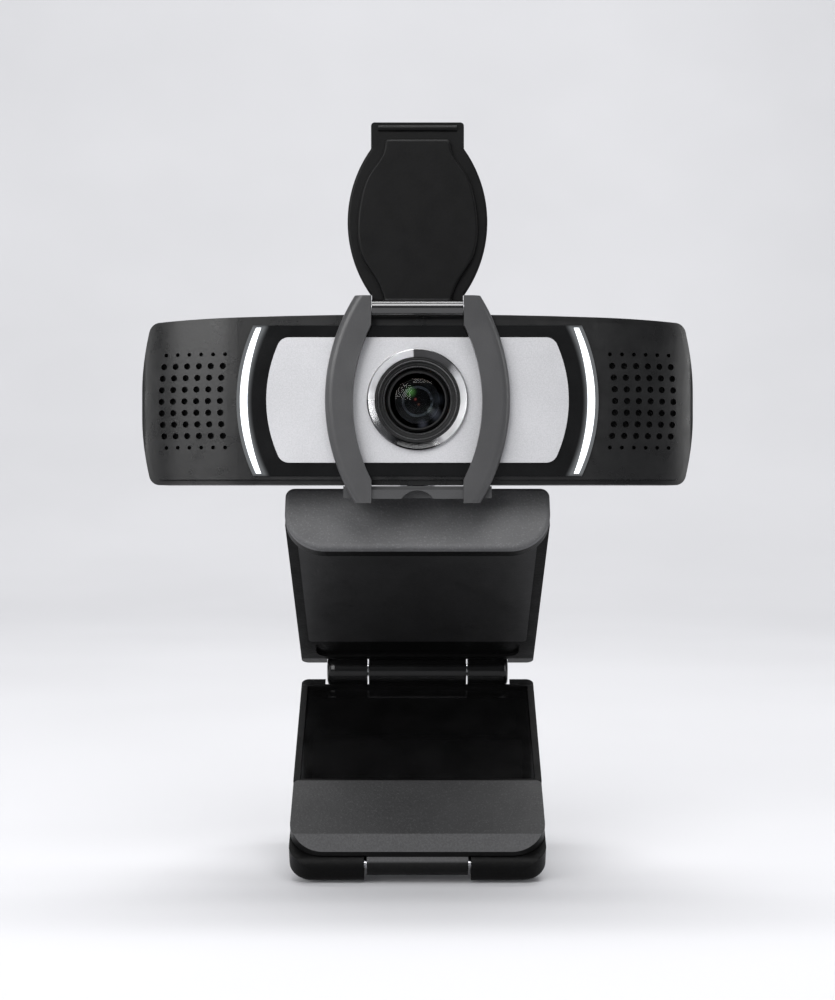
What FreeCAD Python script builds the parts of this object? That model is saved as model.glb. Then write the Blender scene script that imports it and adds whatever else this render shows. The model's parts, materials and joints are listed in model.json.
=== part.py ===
import FreeCAD, Part
import math
import os

# Clip-on monitor webcam with a flip-up privacy shutter, in millimetres.
# +X is to the right seen from the front, +Y is towards the rear, +Z is up.
# The origin is the centre of the seat pad's face, which rests on the monitor.

V = FreeCAD.Vector
X_AXIS = V(1, 0, 0)
Y_AXIS = V(0, 1, 0)
Z_AXIS = V(0, 0, 1)

# ---------------------------------------------------------------- driving dimensions
# Clearances
part_gap = 0.05           # between pieces that drop into each other
moving_gap = 0.3          # between bodies that move past each other
shaft_gap = 0.05          # radial running clearance of pins

# Monitor clip: upper arm (arm frame: y from the lip's front, z from the hinge plane)
clip_half_width = 22.5
arm_reach = 58.8          # lip front to hinge axis
arm_pitch = 30.3          # degrees, rear end lower
arm_under = 0.5           # underside above the hinge plane
arm_top = 6.0
arm_wall = 1.6
arm_floor = 1.2
arm_cover_thickness = 1.6
lip_thickness = 3.0
lip_cover_thickness = 1.4 # soft front skin of the lip
lip_edge_round = 0.7
lip_rise = 0.75           # the lip's top stands this far above the arm's
lip_drop = 5.0            # below the hinge plane
lip_corner = 7.0
pad_rail = 1.8            # rim beside the seat pad
pad_recess = 0.5
pad_proud = 0.3
seat_pad_end = 46.6
lip_pad_thickness = 0.6
lip_pad_inset = 3.2       # its corners are this much tighter than the lip's
arm_corner = 1.4

# Rear hinge of the clip
knuckle_radius = 3.6
barrel_half = 17.6
centre_knuckle_half = 9.45
hinge_pin_radius = 1.2
hinge_end_gap = 0.3       # arm and leg slabs stop this far from the barrel
shoulder_start = 2.3      # beside the barrel the slabs come this close to its axis

# Leg (leg frame: y along the leg from the hinge axis, z outwards from the arm)
leg_opening = 61.8        # degrees between arm and leg as set up
leg_outer = 7.6
leg_corner = 4.2
leg_wall = 1.4
leg_rail = 1.2
leg_lintel = 0.7          # rim above the leg's cover
leg_cover_depth = 0.5     # cover face below the rails
leg_cover_thickness = 1.2
thread_radius = 2.55      # minor radius of a 1/4"-20 camera thread
insert_radius = 4.2
insert_along = 19.0
insert_boss = 5.6

# Foot flap at the end of the leg
foot_start = 33.0
foot_end = 50.5
foot_face = 0.2
foot_pad_thickness = 1.0
foot_thickness = 2.2
foot_bevel_start = 47.3
foot_bevel_drop = 1.3
foot_axis_along = 50.0
foot_knuckle_radius = 2.0
foot_knuckle_half = 8.8
foot_slot_gap = 0.5
foot_pin_radius = 0.75
foot_pin_half = 15.0
foot_corner = 6.0

# Neck: tilt hinge on the arm, swivel post in the head
tilt_room = 0.5           # clear length in front of the tilt knuckle
tilt_above_arm = 1.6
tilt_radius = 2.4
tilt_knuckle_half = 3.4
tilt_ear = 1.5
tilt_pin_radius = 1.0
post_radius = 3.0
washer_radius = 4.6
post_forward = 2.0        # swivel axis in front of the tilt axis
post_foot = 1.5           # post starts this far above the tilt axis
washer_thickness = 0.8
swivel_screw_radius = 1.4
swivel_head_radius = 2.6
swivel_head_height = 1.5

# Head (head frame: y from the face plate's front, z from the underside)
head_half_width = 47.0
head_height = 28.5
head_depth = 24.0
head_crown = 1.15         # top edge falls this much towards the ends
head_end_bulge = 1.9      # ends swell this much at mid height
head_corner = 2.0
head_rear_radius = 6.5
head_wall = 2.0
head_front_flat = 30.0    # half width of the flat part of the front
wing_sweep = 6.0          # ends sit this much further back
rear_sweep = 7.0
head_plan_corner = 5.0    # rear corners seen from above
wing_end_corner = 2.0     # front corners seen from above
wing_front = 0.9          # wings sit this far behind the face plate
rim_setback = 1.0         # rear shell's rim behind the wings
rim_width = 0.9
cover_thickness = 1.6
head_above_tilt = 3.36
tilt_behind_front = 15.5

# Front panel, face plate and lens
lens_height = 14.15       # lens axis above the head's underside
panel_half_mid = 30.1
panel_half_end = 27.3
panel_low = 1.5
panel_high = 26.5
panel_front = 0.5
panel_thickness = 1.8
plate_half_mid = 25.1
plate_half_end = 22.6
plate_low = 3.7
plate_high = 24.5
plate_corner = 2.0
light_half_mid = 28.9
light_half_end = 26.2
light_width = 1.2
light_low = 1.9
light_high = 26.1
light_depth = 3.6
light_tail_inset = 0.5    # behind the panel the guide is this much shorter at each end
ring_radius = 8.4
ring_bore = 7.15
ring_proud = 0.85
tunnel_bore = 5.5
tunnel_steps = 4
tunnel_length = 4.2
barrel_radius = 5.2
barrel_front = 2.4
barrel_length = 6.0
glass_radius = 4.6

# Microphone grilles in the wings
mic_rows = 9
mic_columns = 6
mic_row_pitch = 1.94
mic_column_pitch = 2.03
mic_height = 14.0         # middle row above the head's underside
mic_inner = 32.9          # innermost column at mid height
mic_hole = 0.53
mic_hole_small = 0.33
mic_arc = 35.0            # radius of the columns' curve

# Boards and fixings inside the head
board_front = 10.2
board_thickness = 1.0
board_half_width = 30.0
board_low = 6.0
board_high = 25.0
boss_x = 32.6
boss_low = 3.8
boss_high = 24.0
boss_radius = 1.7
rear_boss_radius = 2.05
mic_board_x = 39.2
mic_post_radius = 1.2
boss_split = 6.0
board_post_x = 26.0
board_post_low = 8.5
board_post_high = 22.5

# Cable outlet at the rear of the head
gland_height = 12.0
gland_radius = 3.6
gland_bore = 2.0
gland_proud = 2.0

# Privacy shutter
shutter_depth = 2.4       # front to back of the frame's arms
shutter_gap = 0.3         # frame stands this far off the face plate
shutter_axis_height = 29.2
shutter_axis_front = 1.6  # axis in front of the face plate
shutter_top = 31.2
shutter_bottom = -3.0
arm_outer_top = 10.4
arm_outer_mid = 15.3
arm_outer_bottom = 10.4
arm_inner_top = 7.65
arm_inner_mid = 10.7
arm_inner_bottom = 7.6
arm_edge_round = 1.3
hook_thickness = 1.2
hook_reach_top = 7.0
hook_reach_bottom = 3.0
hook_half_bottom = 12.3
shutter_pin_radius = 0.6
flap_knuckle_radius = 1.3
flap_length = 30.9
flap_widest_at = 14.8
flap_tab_start = 26.6
flap_side_gap = 0.1       # between the flap's root and the frame's arms
flap_half_mid = 11.6
flap_half_tab = 7.7
flap_thickness = 1.3
flap_panel_height = 1.15
flap_panel_side_gap = 0.75 # raised panel to the frame's arms when closed
flap_panel_corner = 0.8
flap_tab_corner = 0.6
# sides of the raised panel: height above the axis, share of its greatest half width
flap_panel_sides = ((1.0, 0.56), (3.1, 0.61), (4.8, 0.69), (8.1, 0.9), (14.2, 1.0),
                    (18.1, 0.95), (21.4, 0.85), (23.1, 0.75), (24.9, 0.62), (27.9, 0.56))
flap_edge_round = 0.4

# ---------------------------------------------------------------- derived frames
seat_along = (lip_thickness + seat_pad_end) / 2 - 7.8
seat_level = arm_under - pad_proud
tilt_along = lip_thickness + arm_wall + tilt_room + tilt_radius
arm_turn = FreeCAD.Rotation(X_AXIS, -arm_pitch)
arm_frame = FreeCAD.Placement(-arm_turn.multVec(V(0, seat_along, seat_level)), arm_turn)
hinge_point = arm_frame.multVec(V(0, arm_reach, 0))
leg_turn = FreeCAD.Rotation(X_AXIS, 180 + leg_opening - arm_pitch)
leg_frame = FreeCAD.Placement(hinge_point, leg_turn)
tilt_point = arm_frame.multVec(V(0, tilt_along, arm_top + tilt_above_arm))
head_origin = tilt_point - V(0, tilt_behind_front, -head_above_tilt)
head_frame = FreeCAD.Placement(head_origin, FreeCAD.Rotation())
neck_frame = FreeCAD.Placement(tilt_point, FreeCAD.Rotation())

arm_end = arm_reach - knuckle_radius - hinge_end_gap
leg_start = knuckle_radius + hinge_end_gap
cover_seam = arm_top - arm_cover_thickness
foot_axis_depth = foot_face + foot_thickness + moving_gap + foot_knuckle_radius - 0.1
leg_length = foot_axis_along + foot_axis_depth - foot_face - foot_thickness - moving_gap
panel_rear = panel_front + panel_thickness
swivel_along = tilt_behind_front - post_forward


# ---------------------------------------------------------------- shape helpers
def box(x0, x1, y0, y1, z0, z1):
    return Part.makeBox(x1 - x0, y1 - y0, z1 - z0, V(x0, y0, z0))


def cyl_x(radius, x0, x1, y, z):
    return Part.makeCylinder(radius, x1 - x0, V(x0, y, z), X_AXIS)


def cyl_y(radius, y0, y1, x, z):
    return Part.makeCylinder(radius, y1 - y0, V(x, y0, z), Y_AXIS)


def cyl_z(radius, z0, z1, x, y):
    return Part.makeCylinder(radius, z1 - z0, V(x, y, z0), Z_AXIS)


def fuse(shapes):
    result = shapes[0].multiFuse(shapes[1:]) if len(shapes) > 1 else shapes[0]
    return result.removeSplitter()


def cut(shape, tools):
    return shape.cut(tools)


def mirror(shape):
    return shape.mirror(V(0, 0, 0), X_AXIS)


def both_sides(shape):
    return [shape, mirror(shape)]


def along(edge, axis):
    if edge.Curve.TypeId != "Part::GeomLine":
        return False
    return abs(abs(edge.Curve.Direction.dot(axis)) - 1) < 1e-6


def round_along(shape, radius, axis, wanted=lambda point: True):
    edges = [e for e in shape.Edges if along(e, axis) and wanted(e.CenterOfMass)]
    return shape.makeFillet(radius, edges)


def line(p, q):
    return Part.LineSegment(p, q).toShape()


def arc(p, through, q):
    return Part.Arc(p, through, q).toShape()


def prism(edges, direction):
    return Part.Face(Part.Wire(edges)).extrude(direction)


def revolve_y(profile, z):
    # profile is a list of (radius, y) pairs, turned about the line x=0 at height z
    points = [V(r, y, z) for r, y in profile]
    face = Part.Face(Part.makePolygon(points + [points[0]]))
    return face.revolve(V(0, 0, z), Y_AXIS, 360)


def barrel_prism(half_mid, half_end, low, high, y0, y1):
    # a plate with straight top and bottom edges and bowed sides
    middle = (low + high) / 2
    edges = [
        line(V(-half_end, y0, low), V(half_end, y0, low)),
        arc(V(half_end, y0, low), V(half_mid, y0, middle), V(half_end, y0, high)),
        line(V(half_end, y0, high), V(-half_end, y0, high)),
        arc(V(-half_end, y0, high), V(-half_mid, y0, middle), V(-half_end, y0, low)),
    ]
    return prism(edges, V(0, y1 - y0, 0))


# ---------------------------------------------------------------- head shell shapes
def head_front_prism(inset):
    # the head's outline seen from the front, smaller all round by inset
    foot = head_half_width - head_end_bulge
    low = inset
    shoulder = head_height - head_crown - inset
    top = head_height - inset
    reach = -5.0
    edges = [
        line(V(-foot + inset, reach, low), V(foot - inset, reach, low)),
        arc(V(foot - inset, reach, low), V(head_half_width - inset, reach, head_height * 0.43),
            V(foot - inset, reach, shoulder)),
        arc(V(foot - inset, reach, shoulder), V(0, reach, top), V(inset - foot, reach, shoulder)),
        arc(V(inset - foot, reach, shoulder), V(inset - head_half_width, reach, head_height * 0.43),
            V(inset - foot, reach, low)),
    ]
    solid = prism(edges, V(0, head_depth + 10, 0))
    return round_along(solid, max(head_corner - inset, 0.5), Y_AXIS)


def head_plan_prism(front, inset):
    # the head seen from above: flat middle, swept-back wings and a bowed rear
    sweep_run = head_half_width - head_front_flat
    sweep_radius = (sweep_run ** 2 + wing_sweep ** 2) / (2 * wing_sweep)
    half_angle = math.asin(sweep_run / sweep_radius) / 2
    mid_x = head_front_flat + sweep_radius * math.sin(half_angle)
    mid_y = front + sweep_radius * (1 - math.cos(half_angle))
    side = head_half_width
    rear = head_depth - inset
    low = -1.0
    end = front + wing_sweep
    edges = [
        line(V(-head_front_flat, front, low), V(head_front_flat, front, low)),
        arc(V(head_front_flat, front, low), V(mid_x, mid_y, low), V(side, end, low)),
        line(V(side, end, low), V(side, rear - rear_sweep, low)),
        arc(V(side, rear - rear_sweep, low), V(0, rear, low), V(-side, rear - rear_sweep, low)),
        line(V(-side, rear - rear_sweep, low), V(-side, end, low)),
        arc(V(-side, end, low), V(-mid_x, mid_y, low), V(-head_front_flat, front, low)),
    ]
    solid = prism(edges, V(0, 0, head_height + 2))
    solid = round_along(solid, head_plan_corner, Z_AXIS, lambda p: p.y > end + 1 and abs(p.x) > 1)
    return round_along(solid, wing_end_corner, Z_AXIS,
                       lambda p: p.y < end + 0.1 and abs(p.x) > head_front_flat + 1)


def head_side_prism(inset):
    # the head seen from the side: both rear edges are rounded
    solid = box(-head_half_width - 1, head_half_width + 1, -5, head_depth - inset, inset,
                head_height - inset)
    return round_along(solid, head_rear_radius - inset, X_AXIS, lambda p: p.y > head_depth / 2)


def head_volume(front, inset):
    solid = head_front_prism(inset).common(head_plan_prism(front, inset))
    return solid.common(head_side_prism(inset))


def head_rear_shell():
    rim = wing_front + rim_setback
    shell = head_volume(rim, 0)
    lap = cover_thickness - rim_setback + part_gap
    recess = head_front_prism(rim_width - part_gap).cut(head_plan_prism(rim + lap, 0))
    cavity = head_volume(wing_front + cover_thickness, head_wall)
    shell = cut(shell, [recess, cavity])
    back = head_depth - head_wall / 2
    posts = []
    for x in (-boss_x, boss_x):
        for z in (boss_low, boss_high):
            posts.append(cyl_y(rear_boss_radius, boss_split, back, x, z))
        post_x = math.copysign(mic_board_x, x)
        posts.append(cyl_y(mic_post_radius, mic_board_rear(), back, post_x, lens_height))
    for x in (-board_post_x, board_post_x):
        for z in (board_post_low, board_post_high):
            posts.append(cyl_y(1.8, board_front + board_thickness, back, x, z))
    posts = [post.common(head_volume(rim, 0.4)) for post in posts]
    shell = fuse([shell] + posts)
    holes = [cyl_z(post_radius + shaft_gap, -1, head_wall + 1, 0, swivel_along),
             cyl_y(gland_radius, head_depth - 6, head_depth + 1, 0, gland_height)]
    for x in (-boss_x, boss_x):
        for z in (boss_low, boss_high):
            holes.append(cyl_y(0.9, boss_split - 1, head_depth, x, z))
            holes.append(cyl_y(1.75, shell_screw_seat(), head_depth, x, z))
    for x in (-board_post_x, board_post_x):
        for z in (board_post_low, board_post_high):
            holes.append(cyl_y(0.7, board_front, board_front + 5, x, z))
    return cut(shell, holes)


def shell_screw_seat():
    # the screw heads sit in counterbores this deep in the curved rear wall
    radius = (head_half_width ** 2 + rear_sweep ** 2) / (2 * rear_sweep)
    drop = radius - math.sqrt(radius ** 2 - boss_x ** 2)
    return head_depth - drop - 3.0


def mic_board_rear():
    return wing_front + cover_thickness + wing_sweep / 2 + 2.4


def mic_positions():
    # centres and radii of the grille holes in the right-hand wing
    spots = []
    for row in range(mic_rows):
        height = (row - (mic_rows - 1) / 2) * mic_row_pitch
        bow = mic_arc - math.sqrt(mic_arc ** 2 - height ** 2)
        radius = mic_hole_small if row in (0, mic_rows - 1) else mic_hole
        for column in range(mic_columns):
            across = mic_inner + column * mic_column_pitch - bow
            spots.append((across, mic_height + height, radius))
    return spots


def head_front_cover():
    plate = head_front_prism(rim_width).common(head_plan_prism(wing_front, 0))
    plate = plate.cut(head_plan_prism(wing_front + cover_thickness, 0))
    bosses = []
    for x in (-boss_x, boss_x):
        for z in (boss_low, boss_high):
            boss = cyl_y(boss_radius, wing_front, boss_split, x, z)
            bosses.append(boss.common(head_plan_prism(wing_front + 0.6, 0)))
    plate = fuse([plate] + bosses)
    window = barrel_prism(panel_half_mid + part_gap, panel_half_end + part_gap,
                          panel_low - part_gap, panel_high + part_gap, -2, 6)
    holes = [window]
    for x, z, radius in mic_positions():
        holes.append(cyl_y(radius, -2, 8, x, z))
        holes.append(cyl_y(radius, -2, 8, -x, z))
    for x in (-boss_x, boss_x):
        for z in (boss_low, boss_high):
            holes.append(cyl_y(0.8, boss_split - 2.2, boss_split + 1, x, z))
    return cut(plate, holes)


def mic_mesh():
    front = wing_front + cover_thickness
    inset = head_wall + 1.2
    edge = boss_radius + 0.1
    sheet = head_front_prism(inset).common(head_plan_prism(front, inset))
    sheet = sheet.cut(head_plan_prism(front + 0.4, 0))
    keep = box(mic_inner - mic_column_pitch, head_half_width, -2, head_depth, boss_low + edge,
               boss_high - edge)
    patch = sheet.common(keep)
    return both_sides(patch)


def microphones():
    rear = mic_board_rear()
    x = mic_board_x
    board = box(x - 3, x + 3, rear - 0.8, rear, lens_height - 2.5, lens_height + 2.5)
    can = box(x - 1.5, x + 1.5, rear - 1.8, rear - 0.8, lens_height - 1.2, lens_height + 1.2)
    return both_sides(fuse([board, can]))


# ---------------------------------------------------------------- front of the head
def light_band(width, y0, y1, low, high):
    wide = barrel_prism(light_half_mid + width / 2, light_half_end + width / 2, low, high, y0, y1)
    slim = barrel_prism(light_half_mid - width / 2, light_half_end - width / 2, low - 1, high + 1,
                        y0 - 1, y1 + 1)
    return wide.cut(slim)


def front_panel():
    panel = barrel_prism(panel_half_mid, panel_half_end, panel_low, panel_high, panel_front,
                         panel_rear)
    slot = light_band(light_width + 2 * part_gap, panel_front - 1, panel_rear + 1,
                      light_low - part_gap, light_high + part_gap)
    bore = cyl_y(ring_seat_radius(), -1, panel_rear + 1, 0, lens_height)
    return cut(panel, [slot, bore])


def light_pipe(side):
    front = panel_front - 0.1
    band = light_band(light_width, front, panel_rear, light_low, light_high)
    tail = light_band(light_width, panel_rear, front + light_depth,
                      light_low + light_tail_inset, light_high - light_tail_inset)
    half = box(0, head_half_width, -5, 10, 0, head_height)
    pipe = fuse([band.common(half), tail.common(half)])
    return pipe if side > 0 else mirror(pipe)


def led_boards():
    back = panel_front - 0.1 + light_depth
    x = (light_half_mid + light_half_end) / 2
    board = box(x - 2.6, x + 2.6, back, back + 0.8, light_low + 1, light_high - 1)
    return both_sides(board)


def ring_seat_radius():
    return ring_bore + 0.25


def face_plate():
    plate = barrel_prism(plate_half_mid, plate_half_end, plate_low, plate_high, 0, panel_front)
    plate = round_along(plate, plate_corner, Y_AXIS)
    return plate.cut(cyl_y(ring_seat_radius(), -1, 2, 0, lens_height))


def lens_ring():
    seat = ring_seat_radius() - part_gap / 2
    profile = [(ring_radius, 0), (ring_radius, -ring_proud + 0.25), (ring_radius - 0.2, -ring_proud),
               (ring_bore, 0.1), (ring_bore, panel_rear), (seat, panel_rear), (seat, 0)]
    return revolve_y(profile, lens_height)


def lens_tunnel():
    outer = ring_bore - part_gap
    step = (outer - 0.35 - tunnel_bore) / (tunnel_steps - 1)
    tread = (barrel_front + 0.2) / tunnel_steps
    profile = [(outer, 0.3)]
    for index in range(tunnel_steps):
        radius = outer - 0.35 - index * step
        profile.append((radius, 0.3 + index * tread))
        if index < tunnel_steps - 1:
            profile.append((radius, 0.3 + (index + 1) * tread))
    profile.append((tunnel_bore, tunnel_length))
    profile.append((outer + 1.1, tunnel_length))
    profile.append((outer + 1.1, panel_rear))
    profile.append((outer, panel_rear))
    return revolve_y(profile, lens_height)


# ---------------------------------------------------------------- lens group
def lens_barrel():
    back = barrel_front + barrel_length
    pocket = glass_radius + part_gap
    profile = [(barrel_radius, barrel_front + 0.3), (barrel_radius - 0.3, barrel_front),
               (pocket, barrel_front), (pocket, barrel_front + 2.2), (3.7, barrel_front + 2.2),
               (3.7, back - 0.6), (2.6, back - 0.6), (2.6, back), (barrel_radius, back)]
    return revolve_y(profile, lens_height)


def front_lens():
    front = barrel_front + 0.3
    edge = front + 0.9
    back = barrel_front + 2.2
    arc_edge = arc(V(0, front, lens_height), V(glass_radius * 0.52, front + 0.24, lens_height),
                   V(glass_radius, edge, lens_height))
    edges = [arc_edge,
             line(V(glass_radius, edge, lens_height), V(glass_radius, back, lens_height)),
             line(V(glass_radius, back, lens_height), V(0, back, lens_height)),
             line(V(0, back, lens_height), V(0, front, lens_height))]
    face = Part.Face(Part.Wire(edges))
    return face.revolve(V(0, 0, lens_height), Y_AXIS, 360)


def inner_lenses():
    first = barrel_front + 2.2 + part_gap
    second = first + 1.6
    radius = 3.7 - part_gap
    return [cyl_y(radius, first, first + 1.1, 0, lens_height),
            cyl_y(radius, second, second + 0.9, 0, lens_height)]


def focus_coil():
    back = barrel_front + barrel_length
    ring = cyl_y(barrel_radius + 0.7, back - 2.4, back - 0.4, 0, lens_height)
    return ring.cut(cyl_y(barrel_radius, back - 3, back, 0, lens_height))


def lens_holder():
    half = barrel_radius + 2.3
    front = tunnel_length + 0.4
    block = box(-half, half, front, board_front, lens_height - half, lens_height + half)
    block = round_along(block, 1.0, Y_AXIS)
    cavity = cyl_y(barrel_radius + 1.1, front + 0.8, board_front + 1, 0, lens_height)
    mouth = cyl_y(barrel_radius + moving_gap, front - 1, front + 1, 0, lens_height)
    return cut(block, [cavity, mouth])


def image_sensor():
    return box(-4.2, 4.2, board_front - 0.7, board_front, lens_height - 3.6, lens_height + 3.6)


# ---------------------------------------------------------------- electronics and fixings
def main_board():
    board = box(-board_half_width, board_half_width, board_front, board_front + board_thickness,
                board_low, board_high)
    board = round_along(board, 1.5, Y_AXIS)
    holes = [cyl_y(0.8, board_front - 1, board_front + 3, x, z)
             for x in (-board_post_x, board_post_x) for z in (board_post_low, board_post_high)]
    return cut(board, holes)


def processor_chip():
    rear = board_front + board_thickness
    return box(8, 18, rear, rear + 1.1, 9, 19)


def cable_connector():
    rear = board_front + board_thickness
    block = box(-17, -6, rear, rear + 3.2, 9, 13.5)
    return block.cut(box(-16.2, -6.8, rear + 0.8, rear + 4, 9.8, 12.7))


def board_screws():
    screws = []
    for x in (-board_post_x, board_post_x):
        for z in (board_post_low, board_post_high):
            head = cyl_y(1.5, board_front - 0.8, board_front, x, z)
            shank = cyl_y(0.7, board_front, board_front + 4.5, x, z)
            screws.append(fuse([head, shank]))
    return screws


def shell_screws():
    screws = []
    seat = shell_screw_seat()
    for x in (-boss_x, boss_x):
        for z in (boss_low, boss_high):
            head = cyl_y(1.6, seat, seat + 1.1, x, z)
            cross = [box(x - 1.0, x + 1.0, seat + 0.5, seat + 2, z - 0.2, z + 0.2),
                     box(x - 0.2, x + 0.2, seat + 0.5, seat + 2, z - 1.0, z + 1.0)]
            shank = cyl_y(0.8, boss_split - 2, seat, x, z)
            screws.append(cut(fuse([head, shank]), cross))
    return screws


def cable_gland():
    rear = head_depth
    collar = cyl_y(gland_radius, rear - head_wall - 1.5, rear + gland_proud, 0, gland_height)
    rim = [e for e in collar.Edges if e.CenterOfMass.y > rear + gland_proud - 0.1]
    collar = collar.makeFillet(0.8, rim[:1])
    return collar.cut(cyl_y(gland_bore, rear - 6, rear + 6, 0, gland_height))


# ---------------------------------------------------------------- privacy shutter
def shutter_side():
    # right-hand arm of the frame, bowed round the lens
    front = -shutter_gap - shutter_depth
    outer = [V(arm_outer_top, front, shutter_top), V(arm_outer_mid, front, lens_height + 0.3),
             V(arm_outer_bottom, front, shutter_bottom)]
    inner = [V(arm_inner_bottom, front, 0.8), V(arm_inner_mid, front, lens_height - 0.3),
             V(arm_inner_top, front, 26.4)]
    foot = V(arm_inner_bottom, front, shutter_bottom)
    top = V(arm_inner_top, front, shutter_top)
    edges = [arc(*outer), line(outer[2], foot), line(foot, inner[0]), arc(*inner),
             line(inner[2], top), line(top, outer[0])]
    return prism(edges, V(0, shutter_depth, 0))


def shutter_frame():
    front = -shutter_gap - shutter_depth
    rear = -shutter_gap
    arm = shutter_side()
    outer_edge = [e for e in arm.Edges
                  if abs(e.CenterOfMass.y - front) < 0.01 and e.CenterOfMass.x > arm_outer_top + 1]
    arm = arm.makeFillet(arm_edge_round, outer_edge)
    over = head_height + 0.2
    side_strip = box(arm_inner_top, arm_outer_top, rear - 0.5, hook_reach_top, over,
                     over + hook_thickness)
    half = fuse([arm, side_strip])
    top_hook = box(-arm_outer_top, arm_outer_top, hook_start_top(), hook_reach_top, over,
                   over + hook_thickness)
    under = -0.2
    bottom_hook = box(-hook_half_bottom, hook_half_bottom, rear - 0.2, hook_reach_bottom,
                      under - 2.0, under)
    bridge = box(-arm_inner_bottom, arm_inner_bottom, front + 0.5, rear, under - 2.1, under - 0.6)
    frame = fuse(both_sides(half) + [top_hook, bottom_hook, bridge])
    notch = cyl_y(3.2, front - 1, rear + 0.6, 0, under - 3.9)
    pin_hole = cyl_x(shutter_pin_radius, -arm_outer_top + 0.5, arm_outer_top - 0.5,
                     -shutter_axis_front, shutter_axis_height)
    return cut(frame, [notch, pin_hole])


def hook_start_top():
    # the hook's cross bar stays behind the raised flap
    return flap_back() + 2 * moving_gap


def flap_back():
    return flap_plate_front() + flap_thickness


def flap_half_base():
    return arm_inner_top - flap_side_gap


def flap_plate_front():
    # closed, the flap lies just in front of the frame's arms; opened, it is the mirror of that
    closed_back = shutter_gap + shutter_depth + moving_gap * 0.6
    return closed_back - 2 * shutter_axis_front


def shutter_pads():
    pad = box(arm_inner_mid + 0.7, arm_outer_mid - 1.2, -shutter_gap, 0, lens_height - 5,
              lens_height + 5)
    return both_sides(pad)


def shutter_pin():
    half = arm_outer_top - 0.5
    return cyl_x(shutter_pin_radius, -half, half, -shutter_axis_front, shutter_axis_height)


def flap_outline(start, level):
    base = shutter_axis_height + start
    middle = shutter_axis_height + flap_widest_at
    top = shutter_axis_height + flap_tab_start
    right = [V(flap_half_base() + 0.2, level, base), V(flap_half_mid, level, middle),
             V(flap_half_tab, level, top)]
    left = [V(-p.x, p.y, p.z) for p in reversed(right)]
    return [arc(*right), line(right[2], left[0]), arc(*left), line(left[2], right[0])]


def flap_panel(front):
    # the raised panel drops into the frame's window when the flap is closed
    widest = arm_inner_mid - flap_panel_side_gap
    level = front - flap_panel_height
    right = [V(widest * share, level, shutter_axis_height + height)
             for height, share in flap_panel_sides]
    left = [V(-p.x, p.y, p.z) for p in reversed(right)]
    sides = []
    for points in (right, left):
        curve = Part.BSplineCurve()
        curve.interpolate(points)
        sides.append(curve.toShape())
    edges = [sides[0], line(right[-1], left[0]), sides[1], line(left[-1], right[0])]
    panel = prism(edges, V(0, flap_panel_height, 0))
    panel = round_along(panel, flap_panel_corner, Y_AXIS)
    crest = [e for e in panel.Edges if e.BoundBox.YMax < level + 0.01]
    return panel.makeFillet(flap_edge_round, crest)


def bowed(edge):
    return edge.Curve.TypeId == "Part::GeomCircle" and edge.BoundBox.YLength < 0.01


def shutter_flap():
    front = flap_plate_front()
    back = flap_back()
    neck_top = shutter_top - shutter_axis_height + moving_gap
    root = box(-flap_half_base(), flap_half_base(), front, back, shutter_axis_height + moving_gap,
               shutter_axis_height + neck_top + 0.5)
    sweep = flap_outline(neck_top, front)
    plate = prism(sweep, V(0, flap_thickness, 0))
    plate = plate.makeFillet(flap_edge_round, [e for e in plate.Edges if bowed(e)])
    tab = box(-flap_half_tab, flap_half_tab, front, back, shutter_axis_height + flap_tab_start,
              shutter_axis_height + flap_length)
    tab = round_along(tab, flap_tab_corner, Y_AXIS,
                      lambda p: p.z > shutter_axis_height + flap_length - 0.1)
    grip = cyl_x(0.75, -flap_half_tab + 1.2, flap_half_tab - 1.2, back - 0.15,
                 shutter_axis_height + flap_length - 1.0)
    ridge = cyl_x(0.5, -flap_half_tab + 1.2, flap_half_tab - 1.2, front,
                  shutter_axis_height + flap_length - 1.0)
    raised = flap_panel(front)
    knuckle = cyl_x(flap_knuckle_radius, -flap_half_base(), flap_half_base(), -shutter_axis_front,
                    shutter_axis_height)
    web = box(-flap_half_base(), flap_half_base(), -shutter_axis_front, back - 0.4,
              shutter_axis_height + 0.3, shutter_axis_height + flap_knuckle_radius)
    flap = fuse([plate, root, tab, grip, ridge, raised, knuckle, web])
    bore = cyl_x(shutter_pin_radius + shaft_gap, -20, 20, -shutter_axis_front,
                 shutter_axis_height)
    return flap.cut(bore)


# ---------------------------------------------------------------- neck
def neck_bracket():
    knuckle = cyl_x(tilt_radius, -tilt_knuckle_half, tilt_knuckle_half, 0, 0)
    top = head_above_tilt + head_wall + moving_gap
    post = cyl_z(post_radius, post_foot, top, 0, -post_forward)
    web = box(-post_radius, post_radius, -post_radius, tilt_radius - 0.6, 0, tilt_radius + 0.2)
    web = round_along(web, 0.6, X_AXIS)
    body = fuse([knuckle, post, web])
    bore = cyl_x(tilt_pin_radius + shaft_gap, -10, 10, 0, 0)
    screw_hole = cyl_z(swivel_screw_radius, swivel_screw_end(), top + 1, 0, -post_forward)
    return cut(body, [bore, screw_hole])


def swivel_screw_end():
    return tilt_pin_radius + 1.1


def swivel_washer():
    base = head_above_tilt + head_wall + moving_gap
    washer = cyl_z(washer_radius, base, base + washer_thickness, 0, -post_forward)
    hole = cyl_z(swivel_screw_radius + part_gap, base - 1, base + 3, 0, -post_forward)
    return washer.cut(hole)


def swivel_screw():
    base = head_above_tilt + head_wall + moving_gap + washer_thickness
    head = cyl_z(swivel_head_radius, base, base + swivel_head_height, 0, -post_forward)
    shank = cyl_z(swivel_screw_radius, swivel_screw_end(), base, 0, -post_forward)
    return fuse([head, shank])


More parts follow.
